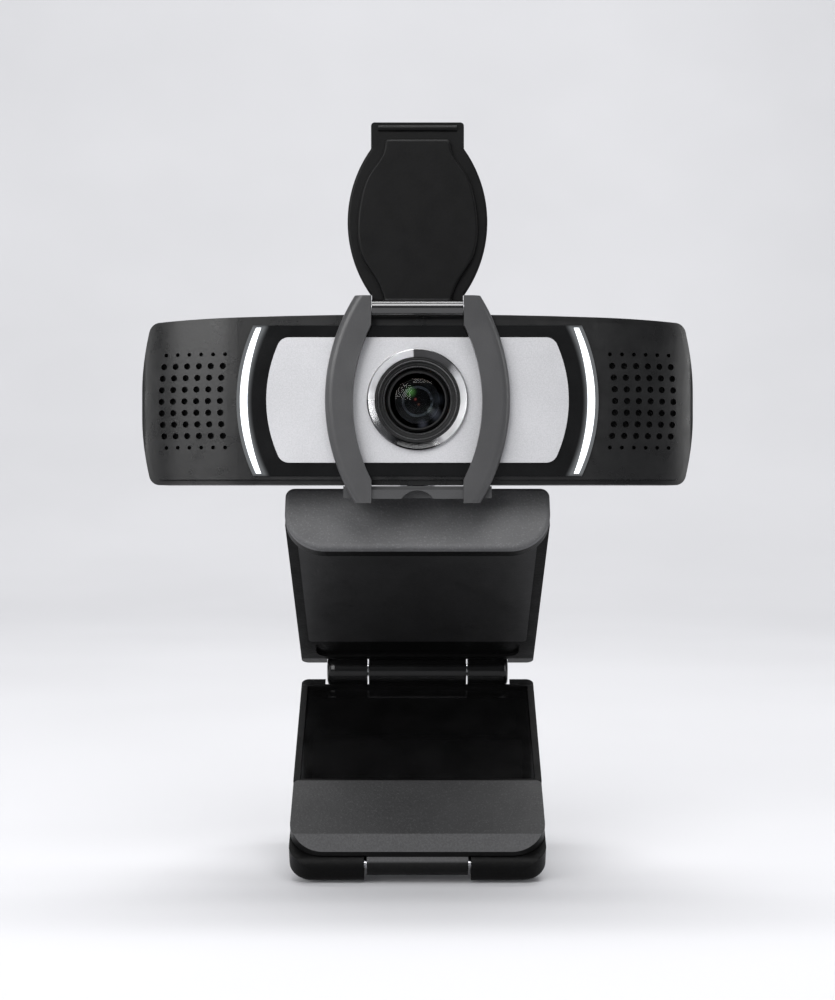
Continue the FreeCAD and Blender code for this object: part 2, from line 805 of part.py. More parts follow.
def tilt_bracket():
    inner = tilt_knuckle_half + moving_gap
    outer = inner + tilt_ear
    height = arm_top + tilt_above_arm
    plate = box(-outer - 3.3, outer + 3.3, tilt_along - tilt_radius - 0.2, tilt_along + 9,
                cover_seam - 1.0, cover_seam)
    ear = fuse([box(inner, outer, tilt_along - tilt_radius, tilt_along + tilt_radius,
                    cover_seam - 1.0, height),
                cyl_x(tilt_radius, inner, outer, tilt_along, height)])
    bracket = fuse([plate] + both_sides(ear))
    return bracket.cut(cyl_x(tilt_pin_radius, -20, 20, tilt_along, height))


def tilt_pin():
    half = tilt_knuckle_half + moving_gap + tilt_ear + 0.7
    height = arm_top + tilt_above_arm
    pin = cyl_x(tilt_pin_radius, -half, half, tilt_along, height)
    return pin.makeChamfer(0.25, [e for e in pin.Edges if abs(e.CenterOfMass.x) > half - 0.01])


# ---------------------------------------------------------------- upper arm
def arm_outline_lip():
    half = clip_half_width
    solid = box(-half, half, 0, lip_thickness, -lip_drop, arm_top + lip_rise)
    solid = round_along(solid, lip_corner, Y_AXIS, lambda p: p.z < 0)
    solid = round_along(solid, 1.6, Y_AXIS, lambda p: p.z > 0)
    front_edges = [e for e in solid.Edges if abs(e.CenterOfMass.y) < 1e-6]
    return solid.makeFillet(lip_edge_round, front_edges)


def lip_cover():
    half = clip_half_width + 1
    return arm_outline_lip().common(box(-half, half, -1, lip_cover_thickness, -20, 20))


def arm_screw_spots():
    return [(x, y) for x in (-17.0, 17.0) for y in (13.0, 42.0)]


def arm_shell():
    half = clip_half_width
    lip = arm_outline_lip().common(box(-half, half, lip_cover_thickness, lip_thickness,
                                       -lip_drop, arm_top))
    end = arm_reach - shoulder_start
    slab = box(-half, half, lip_thickness - 0.8, end, arm_under, cover_seam)
    slab = round_along(slab, arm_corner, Z_AXIS, lambda p: p.y > end - 1)
    slab = slab.cut(hinge_bay())
    inner = half - arm_wall
    cavity = box(-inner, inner, lip_thickness + arm_wall, arm_end - arm_wall, tray_floor(),
                 cover_seam + 0.01)
    cavity = cavity.cut([cyl_z(2.6, 0, cover_seam, x, y) for x, y in arm_screw_spots()])
    knuckle = cyl_x(knuckle_radius, centre_knuckle_half + moving_gap, barrel_half, arm_reach, 0)
    dome = [e for e in knuckle.Edges if e.CenterOfMass.x > barrel_half - 0.01]
    knuckle = knuckle.makeFillet(1.5, dome[:1])
    web = box(centre_knuckle_half + moving_gap, barrel_half - 1.6, arm_end - 1.4, arm_reach,
              arm_under, knuckle_radius)
    ears = both_sides(fuse([knuckle, web]))
    shell = fuse([lip, slab.cut(cavity)] + ears)
    pocket = box(-half + pad_rail, half - pad_rail, lip_thickness, seat_pad_end, 0,
                 arm_under + pad_recess)
    rear_zone = box(-half + pad_rail + 1.2, half - pad_rail - 1.2, seat_pad_end + 0.8,
                    arm_end - 1.2, 0, arm_under + 0.6)
    rear_zone = round_along(rear_zone, 2.2, Z_AXIS)
    holes = [pocket, rear_zone, cyl_x(hinge_pin_radius, -barrel_half + 1.5, barrel_half - 1.5,
                                      arm_reach, 0)]
    for x, y in arm_screw_spots():
        holes.append(cyl_z(0.85, 0, cover_seam + 1, x, y))
        holes.append(cyl_z(1.8, 0, arm_under + pad_recess + 1.0, x, y))
    return cut(shell, holes)


def tray_floor():
    return arm_under + pad_recess + arm_floor


def hinge_bay():
    # room for the barrel between the arm's shoulders
    return box(-barrel_half, barrel_half, arm_end, arm_reach, -1, arm_top + 1)


def arm_cover():
    half = clip_half_width
    end = arm_reach - shoulder_start
    cover = box(-half, half, lip_thickness + part_gap, end, cover_seam, arm_top)
    cover = round_along(cover, arm_corner, Z_AXIS, lambda p: p.y > end - 1)
    top_edges = [e for e in cover.Edges
                 if e.CenterOfMass.z > arm_top - 1e-3 and e.CenterOfMass.y > lip_thickness + 1]
    cover = cover.makeFillet(1.1, top_edges)
    slot_half = tilt_knuckle_half + moving_gap + tilt_ear + part_gap
    slot = box(-slot_half, slot_half, tilt_along - tilt_radius - moving_gap,
               tilt_along + tilt_radius + moving_gap, cover_seam - 1, arm_top + 1)
    holes = [slot, hinge_bay()] + [cyl_z(0.8, cover_seam - 1, cover_seam + 0.9, x, y)
                                   for x, y in arm_screw_spots()]
    return cut(cover, holes)


def arm_screws():
    screws = []
    seat = arm_under + pad_recess
    for x, y in arm_screw_spots():
        head = cyl_z(1.7, seat + 0.1, seat + 1.0, x, y)
        shank = cyl_z(0.8, seat + 1.0, cover_seam + 0.9, x, y)
        screws.append(fuse([head, shank]))
    return screws


def seat_pad():
    half = clip_half_width - pad_rail - part_gap
    pad = box(-half, half, lip_thickness + lip_pad_thickness + part_gap, seat_pad_end - part_gap,
              seat_level, arm_under + pad_recess)
    return round_along(pad, 0.8, Z_AXIS)


def lip_pad():
    half = clip_half_width - pad_rail
    pad = box(-half, half, lip_thickness, lip_thickness + lip_pad_thickness, -lip_drop + 0.8,
              seat_level - part_gap)
    return round_along(pad, lip_corner - lip_pad_inset, Y_AXIS, lambda p: p.z < 0)


def leg_hinge_pin():
    return cyl_x(hinge_pin_radius, -barrel_half + 1.5, barrel_half - 1.5, arm_reach, 0)


# ---------------------------------------------------------------- leg
def leg_screw_spots():
    return [(x, y) for x in (-16.5, 16.5) for y in (10.0, 28.0)]


def leg_pocket_end():
    return foot_start - 0.8


def leg_shell():
    half = clip_half_width
    slab = box(-half, half, shoulder_start, leg_length, arm_under, leg_outer)
    slab = round_along(slab, leg_corner, Z_AXIS, lambda p: p.y > leg_length - 1)
    slab = round_along(slab, arm_corner, Z_AXIS, lambda p: p.y < shoulder_start + 1)
    outer_edges = [e for e in slab.Edges
                   if e.CenterOfMass.z > leg_outer - 1e-3 and e.CenterOfMass.y > leg_start + 1]
    slab = slab.makeFillet(1.5, outer_edges)
    bay = barrel_half + moving_gap
    slab = slab.cut(box(-bay, bay, 0, leg_start, arm_under - 1, leg_outer + 1))
    recess_floor = foot_face + foot_thickness + moving_gap
    recess = box(-half - 1, half + 1, foot_start - moving_gap, leg_length + 2, -2, recess_floor)
    slab = slab.cut(recess)
    tip_round = foot_axis_depth - recess_floor
    corner = box(-half - 1, half + 1, foot_axis_along, leg_length + 1, recess_floor - 1,
                 foot_axis_depth)
    corner = corner.cut(cyl_x(tip_round, -half - 2, half + 2, foot_axis_along, foot_axis_depth))
    slab = slab.cut(corner)
    knuckle = fuse([cyl_x(knuckle_radius, -centre_knuckle_half, centre_knuckle_half, 0, 0),
                    box(-centre_knuckle_half, centre_knuckle_half, 0, leg_start + 1, arm_under,
                        knuckle_radius)])
    pocket = box(-half + leg_rail, half - leg_rail, leg_start + leg_lintel, leg_pocket_end(), -2,
                 cover_rear())
    hollow = box(-half + leg_rail + 0.8, half - leg_rail - 0.8, leg_start + leg_wall + 0.8,
                 leg_pocket_end() - 0.8, cover_rear() - 0.1, leg_outer - leg_wall)
    hollow = hollow.cut(cyl_z(insert_boss, 0, leg_outer, 0, insert_along))
    knuckle_slot = foot_knuckle_half + foot_slot_gap
    slot = box(-knuckle_slot, knuckle_slot, foot_axis_along - foot_knuckle_radius - 0.7,
               leg_length + 2, -2, leg_outer + 1)
    holes = [pocket, hollow, slot,
             cyl_z(insert_radius, 0, leg_outer + 1, 0, insert_along),
             cyl_x(foot_pin_radius, -foot_pin_half, foot_pin_half, foot_axis_along,
                   foot_axis_depth),
             cyl_x(hinge_pin_radius + shaft_gap, -20, 20, 0, 0)]
    for x, y in leg_screw_spots():
        holes.append(cyl_z(0.85, 2, leg_outer + 1, x, y))
        holes.append(cyl_z(1.7, leg_outer - 0.9, leg_outer + 1, x, y))
    return fuse([slab, knuckle]).cut(holes)


def cover_rear():
    return arm_under + leg_cover_depth + leg_cover_thickness


def leg_cover():
    half = clip_half_width - leg_rail - part_gap
    front = arm_under + leg_cover_depth
    plate = box(-half, half, leg_start + leg_lintel + part_gap, leg_pocket_end() - part_gap, front,
                cover_rear())
    plate = round_along(plate, 0.8, Z_AXIS)
    bosses = [cyl_z(2.1, cover_rear() - 0.2, leg_outer - leg_wall, x, y)
              for x, y in leg_screw_spots()]
    cover = fuse([plate] + bosses)
    return cut(cover, [cyl_z(0.8, cover_rear() + 0.4, leg_outer, x, y)
                       for x, y in leg_screw_spots()])


def leg_screws():
    screws = []
    for x, y in leg_screw_spots():
        head = cyl_z(1.6, leg_outer - 0.9, leg_outer - 0.1, x, y)
        shank = cyl_z(0.8, cover_rear() + 0.6, leg_outer - 0.9, x, y)
        screws.append(fuse([head, shank]))
    return screws


def tripod_insert():
    insert = cyl_z(insert_radius, cover_rear(), leg_outer - 0.1, 0, insert_along)
    return insert.cut(cyl_z(thread_radius, 0, leg_outer + 1, 0, insert_along))


def foot_hinge_pin():
    return cyl_x(foot_pin_radius, -foot_pin_half, foot_pin_half, foot_axis_along,
                 foot_axis_depth)


# ---------------------------------------------------------------- foot
def foot_half():
    return clip_half_width - 0.1


def foot_plate():
    half = foot_half()
    under = foot_face + foot_pad_thickness
    rear = foot_face + foot_thickness
    profile = [V(-half, foot_start, under), V(-half, foot_bevel_start, under),
               V(-half, foot_bevel_start, foot_face),
               V(-half, foot_end, foot_face + foot_bevel_drop), V(-half, foot_end, rear),
               V(-half, foot_start, rear)]
    plate = Part.Face(Part.makePolygon(profile + [profile[0]])).extrude(V(2 * half, 0, 0))
    plate = plate.common(foot_plan(foot_start))
    knuckle = cyl_x(foot_knuckle_radius, -foot_knuckle_half, foot_knuckle_half,
                    foot_axis_along, foot_axis_depth)
    web = box(-foot_knuckle_half, foot_knuckle_half, foot_axis_along - foot_knuckle_radius,
              foot_end, rear - 0.3, foot_axis_depth)
    body = fuse([plate, knuckle, web])
    return body.cut(cyl_x(foot_pin_radius + shaft_gap, -20, 20, foot_axis_along,
                          foot_axis_depth))


def foot_plan(start):
    half = foot_half()
    plan = box(-half, half, start, foot_end, -5, 10)
    return round_along(plan, foot_corner, Z_AXIS, lambda p: p.y > foot_end - 1)


def foot_pad():
    half = foot_half()
    pad = box(-half, half, foot_start, foot_bevel_start, foot_face,
              foot_face + foot_pad_thickness)
    pad = round_along(pad, 0.9, Z_AXIS, lambda p: p.y < foot_start + 1)
    return pad.common(foot_plan(foot_start))


# ---------------------------------------------------------------- write the parts
NODES = [
    (arm_frame, {
        "arm_shell": arm_shell, "arm_cover": arm_cover, "seat_pad": seat_pad,
        "lip_pad": lip_pad, "lip_cover": lip_cover, "arm_screws": arm_screws,
        "leg_hinge_pin": leg_hinge_pin, "tilt_bracket": tilt_bracket, "tilt_pin": tilt_pin}),
    (leg_frame, {
        "leg_shell": leg_shell, "leg_cover": leg_cover, "leg_screws": leg_screws,
        "tripod_insert": tripod_insert, "foot_hinge_pin": foot_hinge_pin,
        "foot_plate": foot_plate, "foot_pad": foot_pad}),
    (neck_frame, {
        "neck_bracket": neck_bracket, "swivel_washer": swivel_washer,
        "swivel_screw": swivel_screw}),
    (head_frame, {
        "head_rear_shell": head_rear_shell, "head_front_cover": head_front_cover,
        "mic_mesh": mic_mesh, "microphones": microphones, "front_panel": front_panel,
        "light_pipe_left": lambda: light_pipe(-1), "light_pipe_right": lambda: light_pipe(1),
        "led_boards": led_boards, "face_plate": face_plate, "lens_ring": lens_ring,
        "lens_tunnel": lens_tunnel, "lens_barrel": lens_barrel, "front_lens": front_lens,
        "inner_lenses": inner_lenses, "focus_coil": focus_coil, "lens_holder": lens_holder,
        "image_sensor": image_sensor, "main_board": main_board,
        "processor_chip": processor_chip, "cable_connector": cable_connector,
        "board_screws": board_screws, "shell_screws": shell_screws,
        "cable_gland": cable_gland, "shutter_frame": shutter_frame,
        "shutter_pads": shutter_pads, "shutter_pin": shutter_pin,
        "shutter_flap": shutter_flap}),
]


def write_parts():
    os.makedirs("parts", exist_ok=True)
    for frame, makers in NODES:
        for name, maker in makers.items():
            made = maker()
            shape = Part.makeCompound(made) if isinstance(made, list) else made
            shape = shape.copy()
            shape.Placement = frame.multiply(shape.Placement)
            shape.exportStep("parts/" + name + ".step")
            kinds = "solids %d valid %s" % (len(shape.Solids), shape.isValid())
            print("%-18s %s volume %.1f" % (name, kinds, shape.Volume))


write_parts()
for label, point in (("leg hinge", hinge_point), ("tilt axis", tilt_point),
                     ("head origin", head_origin)):
    print("%s at %.3f %.3f %.3f" % (label, point.x, point.y, point.z))
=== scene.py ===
import json
import math

import bpy
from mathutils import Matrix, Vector


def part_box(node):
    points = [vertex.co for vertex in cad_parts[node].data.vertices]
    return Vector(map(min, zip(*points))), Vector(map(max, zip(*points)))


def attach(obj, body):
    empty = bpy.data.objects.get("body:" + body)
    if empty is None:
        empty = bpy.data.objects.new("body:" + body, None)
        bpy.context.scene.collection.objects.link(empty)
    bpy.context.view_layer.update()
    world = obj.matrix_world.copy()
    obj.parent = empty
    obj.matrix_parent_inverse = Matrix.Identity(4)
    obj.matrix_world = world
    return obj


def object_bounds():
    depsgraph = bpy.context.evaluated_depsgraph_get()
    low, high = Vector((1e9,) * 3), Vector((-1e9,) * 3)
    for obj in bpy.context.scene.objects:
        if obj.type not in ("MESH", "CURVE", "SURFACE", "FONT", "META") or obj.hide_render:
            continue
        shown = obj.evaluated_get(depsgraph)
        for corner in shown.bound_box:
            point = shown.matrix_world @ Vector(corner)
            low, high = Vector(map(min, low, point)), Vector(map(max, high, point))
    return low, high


# Looks for a clip-on webcam with a lit front panel and a flip-up shutter, in metres.

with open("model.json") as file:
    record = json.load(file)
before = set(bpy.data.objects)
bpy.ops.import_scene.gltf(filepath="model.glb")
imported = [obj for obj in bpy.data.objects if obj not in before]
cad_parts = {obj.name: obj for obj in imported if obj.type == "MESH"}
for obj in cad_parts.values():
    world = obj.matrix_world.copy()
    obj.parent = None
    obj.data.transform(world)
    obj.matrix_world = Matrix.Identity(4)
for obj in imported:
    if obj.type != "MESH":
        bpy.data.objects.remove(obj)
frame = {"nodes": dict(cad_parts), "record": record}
cad_low, cad_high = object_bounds()
MM = 0.001

# ---------------------------------------------------------------- places from the frame
ring_low, ring_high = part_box("lens_ring")
LENS_CENTRE = (ring_low + ring_high) / 2
LENS_AXIS = Vector((LENS_CENTRE.x, 0, LENS_CENTRE.z))
HEAD_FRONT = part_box("face_plate")[0].y
HEAD_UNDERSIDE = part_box("head_rear_shell")[0].z
HINGE = sum(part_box("leg_hinge_pin"), Vector()) / 2
FLAP_AXIS = sum(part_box("shutter_pin"), Vector()) / 2
strip_low, strip_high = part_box("light_pipe_right")
STRIP_WIDTH = 1.2 * MM
STRIP_BOW = 2.7 * MM       # the strip's middle stands this far outside its ends
STRIP_X = strip_high.x - STRIP_WIDTH / 2
STRIP_Z = (strip_low.z + strip_high.z) / 2
half_strip = (strip_high.z - strip_low.z) / 2
STRIP_RADIUS = (half_strip ** 2 + STRIP_BOW ** 2) / (2 * STRIP_BOW)
STRIP_END_FADE = 0.8 * MM  # the glow dies out over this length past the strip's ends
STRIP_LIGHT = (0.92, 0.96, 1.0, 1.0)


# ---------------------------------------------------------------- node helpers
class Shader:
    """A material with a Principled shader and short calls for the nodes that feed it."""

    def __init__(self, name):
        self.material = bpy.data.materials.new(name)
        self.material.use_nodes = True
        self.tree = self.material.node_tree
        self.shader = self.tree.nodes["Principled BSDF"]
        self.coords = self.tree.nodes.new("ShaderNodeTexCoord").outputs["Object"]

    def set(self, **values):
        for name, value in values.items():
            self.shader.inputs[name.replace("_", " ")].default_value = value
        return self

    def link(self, source, name):
        self.tree.links.new(source, self.shader.inputs[name])

    def node(self, kind, links=None, **settings):
        made = self.tree.nodes.new(kind)
        for name, value in settings.items():
            setattr(made, name, value)
        for name, value in (links or {}).items():
            socket = made.inputs[name]
            if isinstance(value, bpy.types.NodeSocket):
                self.tree.links.new(value, socket)
            else:
                socket.default_value = value
        return made

    def stretch(self, scale):
        return self.node("ShaderNodeMapping", {"Vector": self.coords, "Scale": scale}).outputs[0]

    def noise(self, size, detail=3.0, rough=0.55, vector=None):
        links = {"Vector": vector or self.coords, "Scale": 1.0 / size, "Detail": detail,
                 "Roughness": rough}
        return self.node("ShaderNodeTexNoise", links).outputs["Fac"]

    def cells(self, size, feature="F1", vector=None):
        links = {"Vector": vector or self.coords, "Scale": 1.0 / size}
        return self.node("ShaderNodeTexVoronoi", links, feature=feature).outputs["Distance"]

    def spread(self, value, low, high, to_low=0.0, to_high=1.0):
        links = {"Value": value, "From Min": low, "From Max": high, "To Min": to_low,
                 "To Max": to_high}
        return self.node("ShaderNodeMapRange", links).outputs["Result"]

    def math(self, operation, a, b=0.0):
        return self.node("ShaderNodeMath", {0: a, 1: b}, operation=operation).outputs[0]

    def blend(self, factor, dark, light):
        ramp = self.node("ShaderNodeMix", {"Factor": factor}, data_type="RGBA")
        for socket, value in (("A", dark), ("B", light)):
            target = [s for s in ramp.inputs if s.name == socket and s.type == "RGBA"][0]
            if isinstance(value, bpy.types.NodeSocket):
                self.tree.links.new(value, target)
            else:
                target.default_value = (*value, 1.0)
        return [s for s in ramp.outputs if s.type == "RGBA"][0]

    def bump(self, height, distance, strength=1.0, below=None):
        links = {"Height": height, "Distance": distance, "Strength": strength}
        if below is not None:
            links["Normal"] = below
        return self.node("ShaderNodeBump", links).outputs["Normal"]

    def part(self, axis, start=0.0):
        parts = self.node("ShaderNodeSeparateXYZ", {"Vector": self.coords}).outputs
        return self.math("SUBTRACT", parts[axis], start)

    def length(self, a, b):
        square = self.math("ADD", self.math("MULTIPLY", a, a), self.math("MULTIPLY", b, b))
        return self.math("SQRT", square)

    def lens_radius(self, x=0.0, z=0.0):
        # distance from a line along the lens axis, in metres
        return self.length(self.part("X", LENS_AXIS.x + x), self.part("Z", LENS_AXIS.z + z))

    def lens_turn(self):
        # 0 to 1 round the lens axis, from the left through the bottom
        turn = self.math("ARCTAN2", self.part("Z", LENS_AXIS.z), self.part("X", LENS_AXIS.x))
        return self.spread(turn, -math.pi, math.pi)

    def near_axis(self, point, inner, outer):
        # 1 close to a crosswise axis, 0 away from it
        away = self.length(self.part("Y", point.y), self.part("Z", point.z))
        return self.spread(away, inner, outer, 1.0, 0.0)

    def from_strip(self):
        # how far outside the middle line of either light strip, in metres
        side = self.math("ABSOLUTE", self.part("X"))
        out = self.math("SUBTRACT", side, STRIP_X - STRIP_RADIUS)
        return self.math("SUBTRACT", self.length(out, self.part("Z", STRIP_Z)), STRIP_RADIUS)

    def strip_glow(self, reach, strength):
        # light from the strips, painted as a glow: even outside them, fading out within reach inside them
        band = self.spread(self.from_strip(), -reach, -STRIP_WIDTH / 2)
        ends = self.math("ABSOLUTE", self.part("Z", STRIP_Z))
        ends = self.spread(ends, half_strip, half_strip + STRIP_END_FADE, 1.0, 0.0)
        cloud = self.spread(self.noise(2.0 * MM), 0.3, 0.7, 0.85, 1.0)
        glow = self.math("MULTIPLY", self.math("POWER", band, 1.5), self.math("MULTIPLY", ends, cloud))
        self.link(self.math("MULTIPLY", glow, strength), "Emission Strength")
        self.set(Emission_Color=STRIP_LIGHT)


def grey(value, tint=(1.0, 1.0, 1.03)):
    return tuple(value * t for t in tint)


# ---------------------------------------------------------------- materials
RUBBED_ROUGHNESS = 0.35    # share of a plastic's roughness left where it is rubbed smooth
RUBBED_RELIEF = 0.1        # share of its grain left there


def moulded(name, value, roughness, grain, depth, speckle=0.0, specular=0.3, polish=None):
    """Moulded plastic: soft tone changes, a fine spark-eroded grain and lighter specks.

    polish is an axis, an inner and an outer distance, and the shine of the barrel there.
    """
    m = Shader(name).set(Specular_IOR_Level=specular)
    tone = m.spread(m.noise(9 * MM, 4.0), 0.3, 0.7)
    fine = m.noise(grain, 2.0, 0.7)
    colour = m.blend(tone, grey(value * 0.9), grey(value * 1.1))
    if speckle:
        specks = m.spread(fine, 0.56, 0.70, 0.0, speckle)
        colour = m.blend(specks, colour, grey(min(value * 4.0 + 0.03, 0.8)))
    m.link(colour, "Base Color")
    rub = m.spread(m.noise(3.5 * MM, 5.0), 0.3, 0.75, roughness - 0.05, roughness + 0.07)
    pits = m.cells(grain * 1.7, "SMOOTH_F1")
    relief = 1.0
    if polish:
        smooth = m.near_axis(*polish[:3])
        rub = m.math("MULTIPLY", rub, m.spread(smooth, 0.0, 1.0, 1.0, RUBBED_ROUGHNESS))
        relief = m.spread(smooth, 0.0, 1.0, 1.0, RUBBED_RELIEF)
        m.link(m.spread(smooth, 0.0, 1.0, specular, polish[3]), "Specular IOR Level")
    m.link(rub, "Roughness")
    first = m.bump(pits, depth, relief)
    m.link(m.bump(fine, depth * 0.8, relief, first), "Normal")
    return m.material


def gloss_black(name, glow=None):
    m = Shader(name).set(Specular_IOR_Level=0.35, Coat_Weight=0.2, Coat_Roughness=0.03)
    haze = m.noise(6 * MM, 6.0, 0.6)
    m.link(m.blend(m.spread(haze, 0.35, 0.7), grey(0.0022), grey(0.0045)), "Base Color")
    m.link(m.spread(haze, 0.35, 0.8, 0.06, 0.14), "Roughness")
    m.link(m.bump(m.noise(14 * MM, 1.0), 0.02 * MM), "Normal")
    if glow:
        m.strip_glow(*glow)
    return m.material


def silver_plate():
    """Satin metallised plate with a fine sparkle."""
    m = Shader("silver_plate").set(Metallic=0.55, Specular_IOR_Level=0.5)
    flakes = m.noise(0.20 * MM, 2.0, 0.7)
    drift = m.noise(12 * MM, 2.0)
    tone = m.math("ADD", m.math("MULTIPLY", flakes, 0.7), m.math("MULTIPLY", drift, 0.3))
    m.link(m.blend(m.spread(tone, 0.35, 0.65), grey(0.36), grey(0.47)), "Base Color")
    m.link(m.spread(tone, 0.3, 0.7, 0.42, 0.54), "Roughness")
    m.link(m.bump(flakes, 0.010 * MM), "Normal")
    return m.material


# painted reflection on the lens ring: its tone by share of a turn, from the left through the bottom
CHROME_PAINTED_REFLECTION = ((0.14, 0.38), (0.18, 0.06), (0.30, 0.06), (0.345, 0.95), (0.58, 0.9),
                (0.63, 0.07), (0.762, 0.07), (0.766, 0.98), (0.93, 0.9))
CHROME_REFLECTION_START = (0.42, 0.42, 0.43, 1)
CHROME_REFLECTION_END = (0.55, 0.55, 0.56, 1)
TURNING_PITCH = 0.22 * MM
COIL_PITCH = 0.12 * MM
LENS_RING_PITCH = 0.28 * MM


def chrome():
    """Turned chrome. Its bright and dark sectors are painted reflections and don't follow the lamps."""
    m = Shader("chrome").set(Metallic=1.0)
    film = m.spread(m.noise(2.5 * MM, 5.0), 0.3, 0.7, 0.9, 1.0)
    # the ramp paints the ring's reflections round the lens axis
    ramp = m.node("ShaderNodeValToRGB", {"Fac": m.lens_turn()})
    stops = ramp.color_ramp.elements
    stops[0].position, stops[0].color = 0.0, CHROME_REFLECTION_START
    stops[1].position, stops[1].color = 1.0, CHROME_REFLECTION_END
    for place, value in CHROME_PAINTED_REFLECTION:
        stop = stops.new(place)
        stop.color = (value, value, value * 1.01, 1)
    m.link(m.blend(film, grey(0.02), ramp.outputs["Color"]), "Base Color")
    m.link(m.spread(ramp.outputs["Color"], 0.1, 0.9, 0.10, 0.42), "Roughness")
    turned = m.math("MULTIPLY", m.lens_radius(), 2 * math.pi / TURNING_PITCH)
    m.link(m.bump(m.math("SINE", turned), 0.0015 * MM), "Normal")
    return m.material


def machined(name, colour, roughness=0.3):
    m = Shader(name).set(Metallic=1.0)
    scratch = m.noise(0.5 * MM, 5.0, 0.7, m.stretch((0.12, 1.0, 1.0)))
    dark = tuple(c * 0.8 for c in colour)
    m.link(m.blend(m.spread(scratch, 0.3, 0.7), dark, colour), "Base Color")
    m.link(m.spread(scratch, 0.3, 0.7, roughness - 0.08, roughness + 0.1), "Roughness")
    m.link(m.bump(scratch, 0.01 * MM), "Normal")
    return m.material


def light_pipe():
    """Milky light guide, lit from behind, brightest along its middle."""
    m = Shader("light_pipe").set(Roughness=0.35)
    cloud = m.noise(1.6 * MM, 2.0)
    glow = m.blend(m.spread(cloud, 0.3, 0.7), (0.88, 0.94, 1.0), (0.97, 0.99, 1.0))
    m.link(glow, "Base Color")
    m.link(glow, "Emission Color")
    away = m.math("ABSOLUTE", m.from_strip())
    core = m.spread(away, STRIP_WIDTH * 0.30, STRIP_WIDTH * 0.52, 1.0, 0.30)
    m.link(core, "Emission Strength")
    return m.material


def lens_black(name="lens_black", value=0.004, roughness=0.3, specular=0.3):
    """Anodised black with turned rings round the lens axis."""
    m = Shader(name).set(Specular_IOR_Level=specular)
    rings = m.math("SINE", m.math("MULTIPLY", m.lens_radius(), 2 * math.pi / LENS_RING_PITCH))
    dust = m.noise(0.25 * MM, 3.0)
    m.link(m.blend(m.spread(dust, 0.45, 0.8), grey(value), grey(value * 2.5)), "Base Color")
    m.link(m.spread(dust, 0.3, 0.7, roughness, roughness + 0.12), "Roughness")
    m.link(m.bump(rings, 0.008 * MM, 0.5), "Normal")
    return m.material


def optical_glass(name, tint, painted_reflections=()):
    """Coated optical glass, with painted reflections: faint glowing patches that don't follow the lamps.
    """
    m = Shader(name).set(Transmission_Weight=1.0, IOR=1.16)
    faint = m.noise(4 * MM, 3.0)
    lighter = tuple(min(c * 1.1, 1.0) for c in tint)
    m.link(m.blend(m.spread(faint, 0.3, 0.7), tint, lighter), "Base Color")
    m.link(m.spread(faint, 0.3, 0.8, 0.01, 0.04), "Roughness")
    total = None
    # each entry paints a reflection as a glowing patch round its point
    for x, z, inner, outer, colour in painted_reflections:
        away = m.lens_radius(x * MM, z * MM)
        patch = m.spread(away, inner * MM, outer * MM, 1.0, 0.0)
        tinted = m.blend(m.math("POWER", patch, 1.6), (0.0, 0.0, 0.0), colour)
        if total is not None:
            added = m.node("ShaderNodeVectorMath", {0: total, 1: tinted}, operation="ADD")
            tinted = added.outputs[0]
        total = tinted
    if total is not None:
        m.link(total, "Emission Color")
        m.set(Emission_Strength=1.0)
    return m.material


def printed_board():
    m = Shader("board").set(Coat_Weight=0.3, Coat_Roughness=0.2)
    tracks = m.cells(1.4 * MM, "DISTANCE_TO_EDGE")
    copper = m.spread(tracks, 0.05, 0.09)
    m.link(m.blend(copper, (0.03, 0.16, 0.06), (0.012, 0.07, 0.03)), "Base Color")
    m.link(m.spread(m.noise(2 * MM), 0.3, 0.7, 0.3, 0.45), "Roughness")
    m.link(m.bump(copper, 0.03 * MM), "Normal")
    return m.material


def cloth():
    m = Shader("mesh")
    weave = m.cells(0.22 * MM, "F1")
    m.link(m.blend(m.spread(weave, 0.2, 0.7), grey(0.004), grey(0.012)), "Base Color")
    m.link(m.spread(weave, 0.2, 0.8, 0.75, 0.95), "Roughness")
    m.link(m.bump(weave, 0.04 * MM), "Normal")
    return m.material


def winding():
    m = Shader("copper").set(Metallic=1.0)
    turns = m.math("SINE", m.math("MULTIPLY", m.part("Y"), 2 * math.pi / COIL_PITCH))
    m.link(m.blend(m.spread(turns, -1.0, 1.0), (0.35, 0.12, 0.05), (0.75, 0.33, 0.15)),
           "Base Color")
    m.link(m.spread(turns, -1.0, 1.0, 0.4, 0.25), "Roughness")
    m.link(m.bump(turns, 0.03 * MM), "Normal")
    return m.material


def foot_plate_look():
    """Dark plastic below; the bevel at its end carries the pad's soft grey."""
    m = Shader("foot_soft").set(Specular_IOR_Level=0.12)
    facing = m.tree.nodes["Texture Coordinate"].outputs["Normal"]
    turn = m.node("ShaderNodeVectorMath", {0: facing, 1: BEVEL_NORMAL}, operation="DOT_PRODUCT")
    bevel = m.spread(turn.outputs["Value"], 0.90, 0.97)
    fine = m.noise(0.34 * MM, 2.0, 0.7)
    dark = m.blend(m.spread(fine, 0.4, 0.7), grey(0.0025), grey(0.005))
    light = m.blend(m.spread(fine, 0.4, 0.7), grey(0.046), grey(0.062))
    m.link(m.blend(bevel, dark, light), "Base Color")
    m.link(m.spread(m.noise(3.5 * MM, 5.0), 0.3, 0.75, 0.50, 0.62), "Roughness")
    m.link(m.bump(fine, 0.03 * MM), "Normal")
    return m.material


BEVEL_NORMAL = (0.0, -0.80, 0.59)
